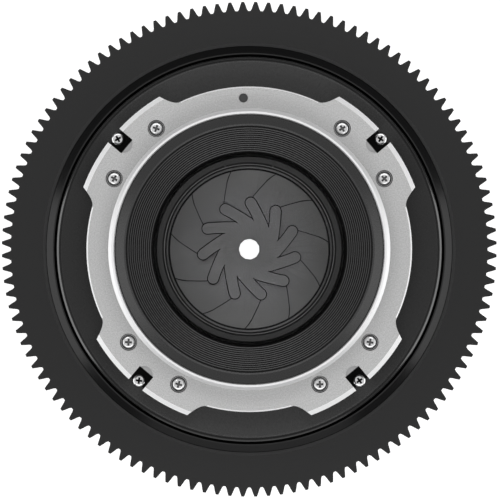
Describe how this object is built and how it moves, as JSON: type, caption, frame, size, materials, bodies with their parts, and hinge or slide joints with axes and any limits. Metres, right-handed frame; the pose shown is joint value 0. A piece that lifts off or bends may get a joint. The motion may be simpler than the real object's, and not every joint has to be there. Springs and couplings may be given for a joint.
{
  "type": "cinema prime lens",
  "caption": "Cinema prime lens with a silver four-tab bayonet mount, ribbed throat, geared iris and focus rings and a working bladed iris.",
  "frame": {"origin": "centre of the mount's flange seat, on the optical axis", "axes": "+Z along the optical axis out of the rear into the camera, +Y towards the index dimple at the top of the mount, +X to the right seen from the rear; the lens stands on its front rim"},
  "size_m": [0.0976, 0.0976, 0.1043],
  "materials": {
    "satin_steel": "satin, with polished bevels",
    "brass": "plain",
    "bright_steel": "polished",
    "black_anodised": "black anodised, satin",
    "matt_black": "black anodised, matt",
    "optical_glass": "polished and coated",
    "plain_aluminium": "plain",
    "slide_plastic": "smooth",
    "blade_steel": "blackened, matt"
  },
  "bodies": {
    "barrel": {"mount_flange": "satin_steel", "flange_shim": "brass", "flange_screws": "bright_steel", "mount_neck": "black_anodised", "barrel_screws": "bright_steel", "rear_cap": "black_anodised", "rear_barrel": "black_anodised", "rear_baffle": "matt_black", "rear_cell": "matt_black", "rear_element": "optical_glass", "rear_doublet_back": "optical_glass", "rear_doublet_front": "optical_glass", "rear_spacer": "matt_black", "rear_retaining_ring": "matt_black", "iris_housing": "black_anodised", "iris_pivot_plate": "plain_aluminium", "iris_cover_ring": "matt_black", "iris_cover_screws": "bright_steel", "iris_lock_ring": "matt_black", "iris_clip_ring": "matt_black", "guide_barrel": "black_anodised", "barrel_joint_screws": "bright_steel", "witness_ring": "black_anodised", "witness_screws": "matt_black", "focus_slide_ring_rear": "slide_plastic", "focus_slide_ring_front": "slide_plastic", "focus_stop_pin": "bright_steel", "iris_stop_pin": "bright_steel", "front_barrel": "black_anodised", "front_baffle": "matt_black"},
    "iris_control": {"iris_ring": "black_anodised", "iris_cam_ring": "brass", "iris_drive_pin": "bright_steel"},
    "focus_control": {"focus_ring": "black_anodised", "focus_cam_sleeve": "plain_aluminium", "focus_drive_screws": "matt_black"},
    "front_group": {"front_cell": "matt_black", "front_element": "optical_glass", "second_element": "optical_glass", "third_element": "optical_glass", "front_retaining_ring": "matt_black", "inner_retaining_ring": "matt_black", "cam_followers": "brass", "follower_screws": "bright_steel"},
    "blade_01": {"iris_blade_01": "blade_steel"},
    "blade_02": {"iris_blade_02": "blade_steel"},
    "blade_03": {"iris_blade_03": "blade_steel"},
    "blade_04": {"iris_blade_04": "blade_steel"},
    "blade_05": {"iris_blade_05": "blade_steel"},
    "blade_06": {"iris_blade_06": "blade_steel"},
    "blade_07": {"iris_blade_07": "blade_steel"},
    "blade_08": {"iris_blade_08": "blade_steel"},
    "blade_09": {"iris_blade_09": "blade_steel"},
    "blade_10": {"iris_blade_10": "blade_steel"},
    "blade_11": {"iris_blade_11": "blade_steel"}
  },
  "joints": [
    {"name": "iris_turn", "type": "hinge", "parent": "barrel", "child": "iris_control", "pos_m": [0, 0, -0.03615], "axis": [0, 0, 1], "range_deg": [-40, 0]},
    {"name": "focus_turn", "type": "hinge", "parent": "barrel", "child": "focus_control", "pos_m": [0, 0, -0.067], "axis": [0, 0, 1], "range_deg": [0, 180]},
    {"name": "focus_slide", "type": "slide", "parent": "barrel", "child": "front_group", "axis": [0, 0, -1], "range_m": [0, 0.0075]},
    {"name": "blade_01_swing", "type": "hinge", "parent": "barrel", "child": "blade_01", "pos_m": [-0.01593, -0.01209, -0.0349], "axis": [0, 0, 1], "range_deg": [-44.61, 0]},
    {"name": "blade_02_swing", "type": "hinge", "parent": "barrel", "child": "blade_02", "pos_m": [-0.00686, -0.01879, -0.0349], "axis": [0, 0, 1], "range_deg": [-44.61, 0]},
    {"name": "blade_03_swing", "type": "hinge", "parent": "barrel", "child": "blade_03", "pos_m": [0.00438, -0.01951, -0.0349], "axis": [0, 0, 1], "range_deg": [-44.61, 0]},
    {"name": "blade_04_swing", "type": "hinge", "parent": "barrel", "child": "blade_04", "pos_m": [0.01424, -0.01405, -0.0349], "axis": [0, 0, 1], "range_deg": [-44.61, 0]},
    {"name": "blade_05_swing", "type": "hinge", "parent": "barrel", "child": "blade_05", "pos_m": [0.01957, -0.00412, -0.0349], "axis": [0, 0, 1], "range_deg": [-44.61, 0]},
    {"name": "blade_06_swing", "type": "hinge", "parent": "barrel", "child": "blade_06", "pos_m": [0.01869, 0.00712, -0.0349], "axis": [0, 0, 1], "range_deg": [-44.61, 0]},
    {"name": "blade_07_swing", "type": "hinge", "parent": "barrel", "child": "blade_07", "pos_m": [0.01188, 0.01609, -0.0349], "axis": [0, 0, 1], "range_deg": [-44.61, 0]},
    {"name": "blade_08_swing", "type": "hinge", "parent": "barrel", "child": "blade_08", "pos_m": [0.00129, 0.01996, -0.0349], "axis": [0, 0, 1], "range_deg": [-44.61, 0]},
    {"name": "blade_09_swing", "type": "hinge", "parent": "barrel", "child": "blade_09", "pos_m": [-0.0097, 0.01749, -0.0349], "axis": [0, 0, 1], "range_deg": [-44.61, 0]},
    {"name": "blade_10_swing", "type": "hinge", "parent": "barrel", "child": "blade_10", "pos_m": [-0.01762, 0.00947, -0.0349], "axis": [0, 0, 1], "range_deg": [-44.61, 0]},
    {"name": "blade_11_swing", "type": "hinge", "parent": "barrel", "child": "blade_11", "pos_m": [-0.01994, -0.00156, -0.0349], "axis": [0, 0, 1], "range_deg": [-44.61, 0]}
  ],
  "couplings": [
    {"joint": "focus_slide", "follows": "focus_turn", "m_per_rad": 0.0023873},
    {"joint": "blade_01_swing", "follows": "iris_turn", "ratio": 1.1128},
    {"joint": "blade_02_swing", "follows": "iris_turn", "ratio": 1.1128},
    {"joint": "blade_03_swing", "follows": "iris_turn", "ratio": 1.1128},
    {"joint": "blade_04_swing", "follows": "iris_turn", "ratio": 1.1128},
    {"joint": "blade_05_swing", "follows": "iris_turn", "ratio": 1.1128},
    {"joint": "blade_06_swing", "follows": "iris_turn", "ratio": 1.1128},
    {"joint": "blade_07_swing", "follows": "iris_turn", "ratio": 1.1128},
    {"joint": "blade_08_swing", "follows": "iris_turn", "ratio": 1.1128},
    {"joint": "blade_09_swing", "follows": "iris_turn", "ratio": 1.1128},
    {"joint": "blade_10_swing", "follows": "iris_turn", "ratio": 1.1128},
    {"joint": "blade_11_swing", "follows": "iris_turn", "ratio": 1.1128}
  ]
}
